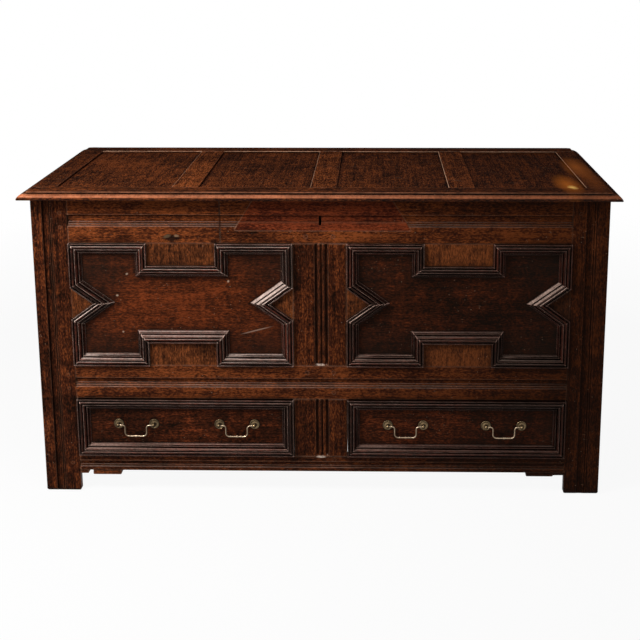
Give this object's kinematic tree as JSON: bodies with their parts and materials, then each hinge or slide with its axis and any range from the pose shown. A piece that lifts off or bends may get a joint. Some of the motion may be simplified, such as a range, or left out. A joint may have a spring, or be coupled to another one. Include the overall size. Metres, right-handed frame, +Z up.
{
  "type": "mule chest",
  "caption": "Joined oak mule chest: panelled coffer with a hinged panelled lid, over a row of side-hung drawers with drop handles.",
  "frame": {"origin": "on the floor under the middle of the lid's outline", "axes": "+Z up, -Y towards the front with the drawers, +X along the chest to the right seen from the front"},
  "size_m": [1.442, 0.614, 0.79],
  "materials": {
    "frame_oak": "old waxed oak, dark in the hollows",
    "panel_oak": "old waxed oak",
    "moulding_oak": "old waxed oak, worn bright on the crests",
    "lid_oak": "polished oak, warm brown",
    "repair_oak": "newer waxed oak, redder",
    "inner_oak": "dry unwaxed oak",
    "brass": "tarnished brass, bright on the edges",
    "iron": "blackened wrought iron"
  },
  "bodies": {
    "carcase": {"back_muntins": "inner_oak", "back_panels": "inner_oak", "back_rails": "inner_oak", "bracket_blocks": "frame_oak", "carcase_pegs": "frame_oak", "centre_bearer": "inner_oak", "coffer_floor": "inner_oak", "drawer_muntin": "frame_oak", "drawer_runners": "inner_oak", "front_bottom_rail": "frame_oak", "front_left_stile": "frame_oak", "front_middle_rail": "frame_oak", "front_right_stile": "frame_oak", "front_top_rail": "frame_oak", "hinge_leaves": "iron", "hinge_pins": "iron", "left_front_panel": "panel_oak", "left_panel_mouldings": "moulding_oak", "left_side_panels": "panel_oak", "left_side_rails": "frame_oak", "lock_case": "iron", "panel_fillers": "panel_oak", "rear_left_stile": "frame_oak", "rear_right_stile": "frame_oak", "right_front_panel": "panel_oak", "right_panel_mouldings": "moulding_oak", "right_side_panels": "panel_oak", "right_side_rails": "frame_oak", "side_muntins": "frame_oak", "top_rail_patch": "repair_oak", "upper_muntin": "frame_oak"},
    "lid": {"lid_back_rail": "lid_oak", "lid_front_rail": "lid_oak", "lid_left_rail": "lid_oak", "lid_muntins": "lid_oak", "lid_panels": "lid_oak", "lid_pegs": "lid_oak", "lid_right_rail": "lid_oak", "lid_staple": "iron", "hinge_straps": "iron"},
    "lock_bolt": {"lock_bolt": "iron"},
    "left_drawer": {"left_drawer_back": "inner_oak", "left_drawer_bottom": "inner_oak", "left_drawer_front": "panel_oak", "left_drawer_mouldings": "moulding_oak", "left_drawer_posts": "brass", "left_drawer_roses": "brass", "left_drawer_sides": "inner_oak"},
    "right_drawer": {"right_drawer_back": "inner_oak", "right_drawer_bottom": "inner_oak", "right_drawer_front": "panel_oak", "right_drawer_mouldings": "moulding_oak", "right_drawer_posts": "brass", "right_drawer_roses": "brass", "right_drawer_sides": "inner_oak"},
    "left_drawer_left_bail": {"left_drawer_left_bail": "brass"},
    "left_drawer_right_bail": {"left_drawer_right_bail": "brass"},
    "right_drawer_left_bail": {"right_drawer_left_bail": "brass"},
    "right_drawer_right_bail": {"right_drawer_right_bail": "brass"}
  },
  "joints": [
    {"name": "lid_hinge", "type": "hinge", "parent": "carcase", "child": "lid", "pos_m": [0, 0.3013, 0.76], "axis": [-1, 0, 0], "range_deg": [0, 100]},
    {"name": "lock_bolt_slide", "type": "slide", "parent": "carcase", "child": "lock_bolt", "axis": [1, 0, 0], "range_m": [0, 0.012]},
    {"name": "left_drawer_slide", "type": "slide", "parent": "carcase", "child": "left_drawer", "axis": [0, -1, 0], "range_m": [0, 0.36]},
    {"name": "right_drawer_slide", "type": "slide", "parent": "carcase", "child": "right_drawer", "axis": [0, -1, 0], "range_m": [0, 0.36]},
    {"name": "left_drawer_left_bail_swing", "type": "hinge", "parent": "left_drawer", "child": "left_drawer_left_bail", "pos_m": [-0.4655, -0.266, 0.181], "axis": [-1, 0, 0], "range_deg": [-15, 160]},
    {"name": "left_drawer_right_bail_swing", "type": "hinge", "parent": "left_drawer", "child": "left_drawer_right_bail", "pos_m": [-0.2115, -0.266, 0.181], "axis": [-1, 0, 0], "range_deg": [-15, 160]},
    {"name": "right_drawer_left_bail_swing", "type": "hinge", "parent": "right_drawer", "child": "right_drawer_left_bail", "pos_m": [0.2125, -0.266, 0.181], "axis": [-1, 0, 0], "range_deg": [-15, 160]},
    {"name": "right_drawer_right_bail_swing", "type": "hinge", "parent": "right_drawer", "child": "right_drawer_right_bail", "pos_m": [0.4585, -0.266, 0.181], "axis": [-1, 0, 0], "range_deg": [-15, 160]}
  ]
}
